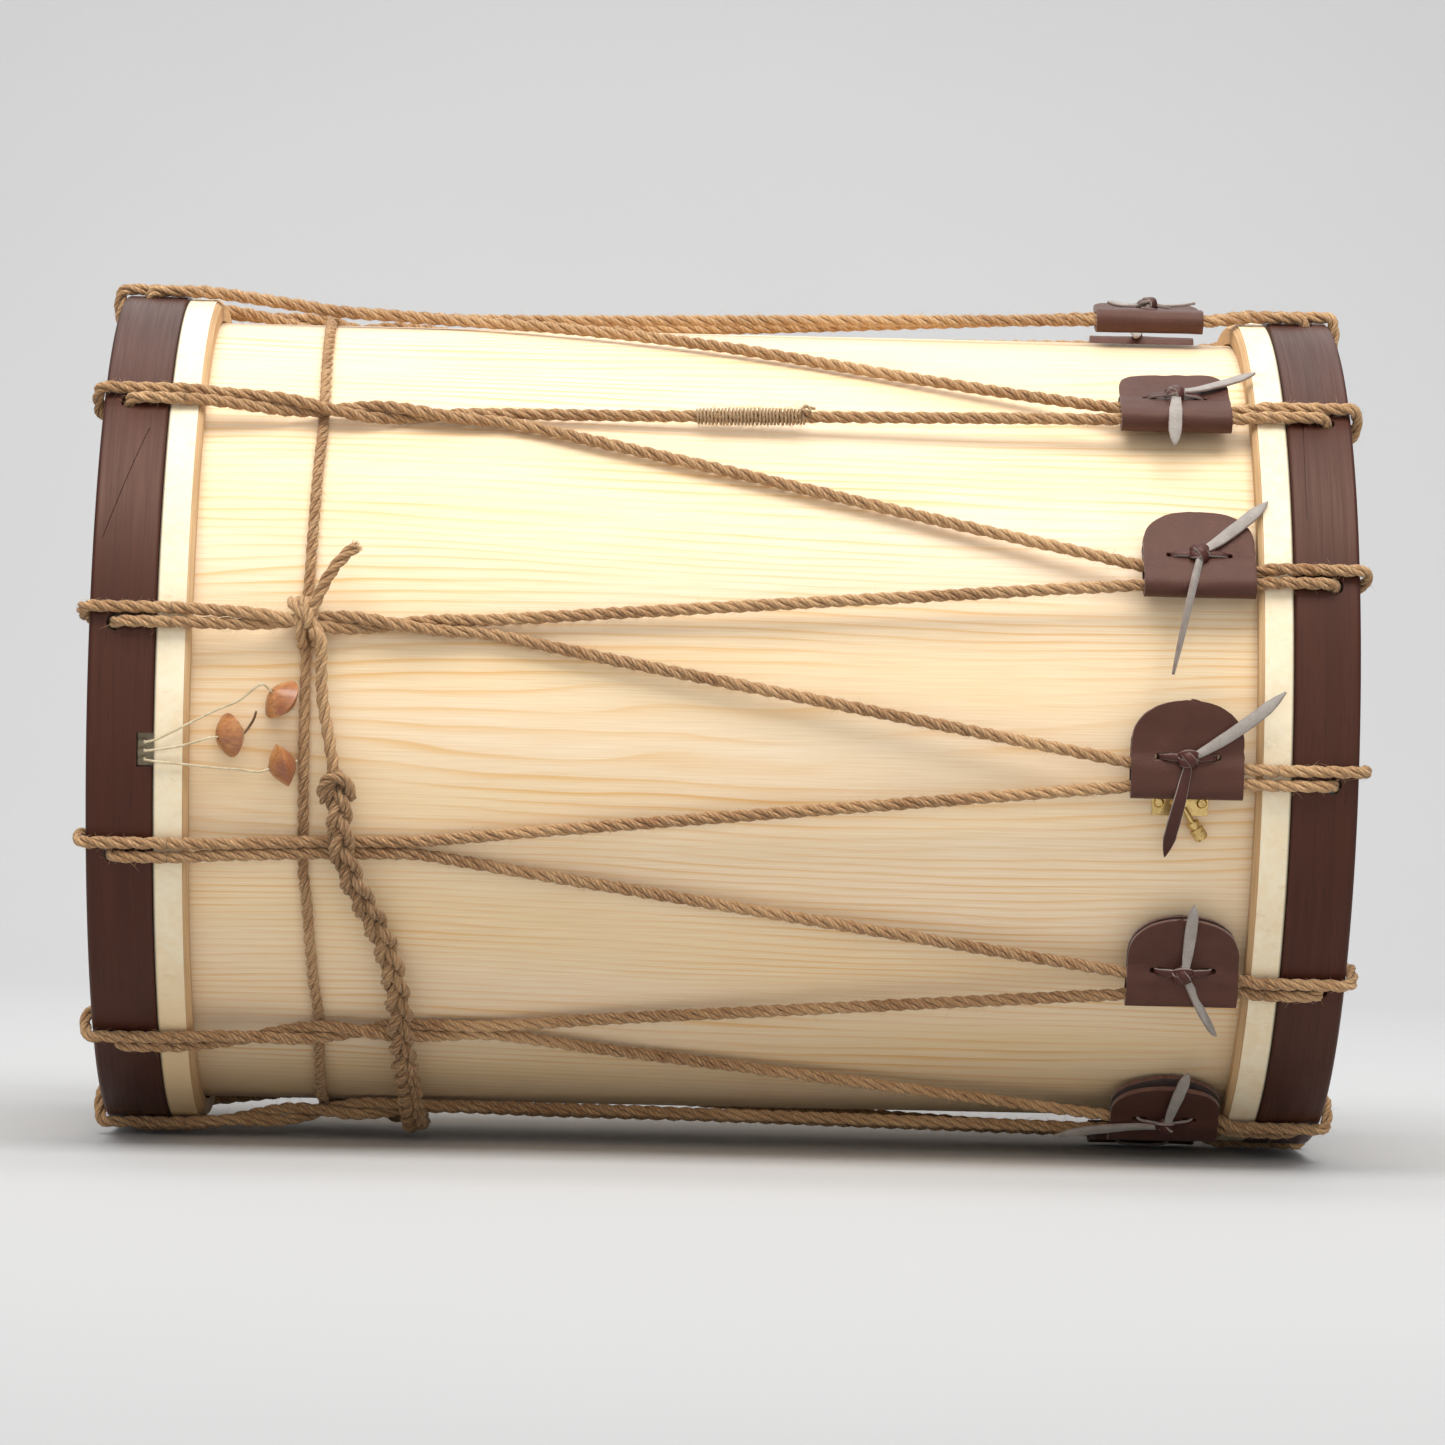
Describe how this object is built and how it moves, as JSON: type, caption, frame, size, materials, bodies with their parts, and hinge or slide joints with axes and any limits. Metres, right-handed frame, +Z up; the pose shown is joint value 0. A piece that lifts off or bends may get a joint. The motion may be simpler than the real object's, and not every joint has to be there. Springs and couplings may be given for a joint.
{
  "type": "bass drum",
  "caption": "Long rope-tensioned field bass drum lying on its side: pine shell, skin heads, stained hoops, jute V lacing with sliding leather tugs.",
  "frame": {"origin": "on the floor under the middle of the drum, which lies on its side", "axes": "+X along the drum's axis from the snare head to the tug end, -Y towards the front with the snare beads, +Z up"},
  "size_m": [0.6004, 0.4322, 0.4221],
  "materials": {
    "shell_wood": "pale pine with fine orange grain along the axis, satin",
    "glue_ring_wood": "bare bent wood inside the shell, matt",
    "flesh_hoop_wood": "bare tan bent wood, matt",
    "counterhoop_wood": "dark reddish brown stain under semi-gloss varnish, grain round the hoop",
    "skin": "cream natural skin, mottled, satin",
    "jute_rope": "three-strand laid jute, hairy",
    "jute_plait": "plaited jute, hairy",
    "twine": "pale twine binding",
    "gut": "translucent amber gut",
    "bead_wood": "turned wood, waxed",
    "brass": "machined brass, lightly tarnished",
    "tug_leather": "dark brown grain leather, suede inside",
    "thong_leather": "split leather lace, grey suede back and brown grain"
  },
  "bodies": {
    "drum": {"shell": "shell_wood", "glue_ring_left": "glue_ring_wood", "glue_ring_right": "glue_ring_wood", "head_left": "skin", "head_right": "skin", "flesh_hoop_left": "flesh_hoop_wood", "flesh_hoop_right": "flesh_hoop_wood", "counterhoop_left": "counterhoop_wood", "counterhoop_right": "counterhoop_wood", "rope_loops_left": "jute_rope", "rope_loops_right": "jute_rope", "girdle_rope": "jute_rope", "girdle_tail": "jute_rope", "drag_rope": "jute_plait", "splice_whipping": "twine", "snare_gut": "gut", "snare_tails": "gut", "snare_bead_1": "bead_wood", "snare_bead_2": "bead_wood", "snare_bead_3": "bead_wood", "strainer_plate": "brass", "strainer_screws": "brass", "rope_v_01": "jute_rope", "rope_v_02": "jute_rope", "rope_v_03": "jute_rope", "rope_v_04": "jute_rope", "rope_v_05": "jute_rope", "rope_v_06": "jute_rope", "rope_v_07": "jute_rope", "rope_v_08": "jute_rope", "rope_v_09": "jute_rope", "rope_v_10": "jute_rope", "rope_v_11": "jute_rope", "rope_v_12": "jute_rope"},
    "tug_body_01": {"tug_01": "tug_leather", "thong_01": "thong_leather"},
    "tug_body_02": {"tug_02": "tug_leather", "thong_02": "thong_leather"},
    "tug_body_03": {"tug_03": "tug_leather", "thong_03": "thong_leather"},
    "tug_body_04": {"tug_04": "tug_leather", "thong_04": "thong_leather"},
    "tug_body_05": {"tug_05": "tug_leather", "thong_05": "thong_leather"},
    "tug_body_06": {"tug_06": "tug_leather", "thong_06": "thong_leather"},
    "tug_body_07": {"tug_07": "tug_leather", "thong_07": "thong_leather"},
    "tug_body_08": {"tug_08": "tug_leather", "thong_08": "thong_leather"},
    "tug_body_09": {"tug_09": "tug_leather", "thong_09": "thong_leather"},
    "tug_body_10": {"tug_10": "tug_leather", "thong_10": "thong_leather"},
    "tug_body_11": {"tug_11": "tug_leather", "thong_11": "thong_leather"},
    "tug_body_12": {"tug_12": "tug_leather", "thong_12": "thong_leather"},
    "strainer_screw": {"strainer_rod": "brass", "strainer_knob": "brass"}
  },
  "joints": [
    {"name": "tug_slide_01", "type": "slide", "parent": "drum", "child": "tug_body_01", "axis": [1, 0, 0], "range_m": [-0.08, 0.014], "deforming": ["rope_v_01"]},
    {"name": "tug_slide_02", "type": "slide", "parent": "drum", "child": "tug_body_02", "axis": [1, 0, 0], "range_m": [-0.08, 0.009], "deforming": ["rope_v_02"]},
    {"name": "tug_slide_03", "type": "slide", "parent": "drum", "child": "tug_body_03", "axis": [1, 0, 0], "range_m": [-0.08, 0.001], "deforming": ["rope_v_03"]},
    {"name": "tug_slide_04", "type": "slide", "parent": "drum", "child": "tug_body_04", "axis": [1, 0, 0], "range_m": [-0.08, 0.006], "deforming": ["rope_v_04"]},
    {"name": "tug_slide_05", "type": "slide", "parent": "drum", "child": "tug_body_05", "axis": [1, 0, 0], "range_m": [-0.08, 0.003], "deforming": ["rope_v_05"]},
    {"name": "tug_slide_06", "type": "slide", "parent": "drum", "child": "tug_body_06", "axis": [1, 0, 0], "range_m": [-0.08, 0.002], "deforming": ["rope_v_06"]},
    {"name": "tug_slide_07", "type": "slide", "parent": "drum", "child": "tug_body_07", "axis": [1, 0, 0], "range_m": [-0.08, 0.004], "deforming": ["rope_v_07"]},
    {"name": "tug_slide_08", "type": "slide", "parent": "drum", "child": "tug_body_08", "axis": [1, 0, 0], "range_m": [-0.08, 0.006], "deforming": ["rope_v_08"]},
    {"name": "tug_slide_09", "type": "slide", "parent": "drum", "child": "tug_body_09", "axis": [1, 0, 0], "range_m": [-0.08, 0.008], "deforming": ["rope_v_09"]},
    {"name": "tug_slide_10", "type": "slide", "parent": "drum", "child": "tug_body_10", "axis": [1, 0, 0], "range_m": [-0.08, 0.005], "deforming": ["rope_v_10"]},
    {"name": "tug_slide_11", "type": "slide", "parent": "drum", "child": "tug_body_11", "axis": [1, 0, 0], "range_m": [-0.08, 0.007], "deforming": ["rope_v_11"]},
    {"name": "tug_slide_12", "type": "slide", "parent": "drum", "child": "tug_body_12", "axis": [1, 0, 0], "range_m": [-0.08, 0.009], "deforming": ["rope_v_12"]},
    {"name": "strainer_turn", "type": "hinge", "parent": "drum", "child": "strainer_screw", "pos_m": [0.2125, -0.19158, 0.17371], "axis": [0.5446, 0.1471, -0.8257], "continuous": true}
  ]
}
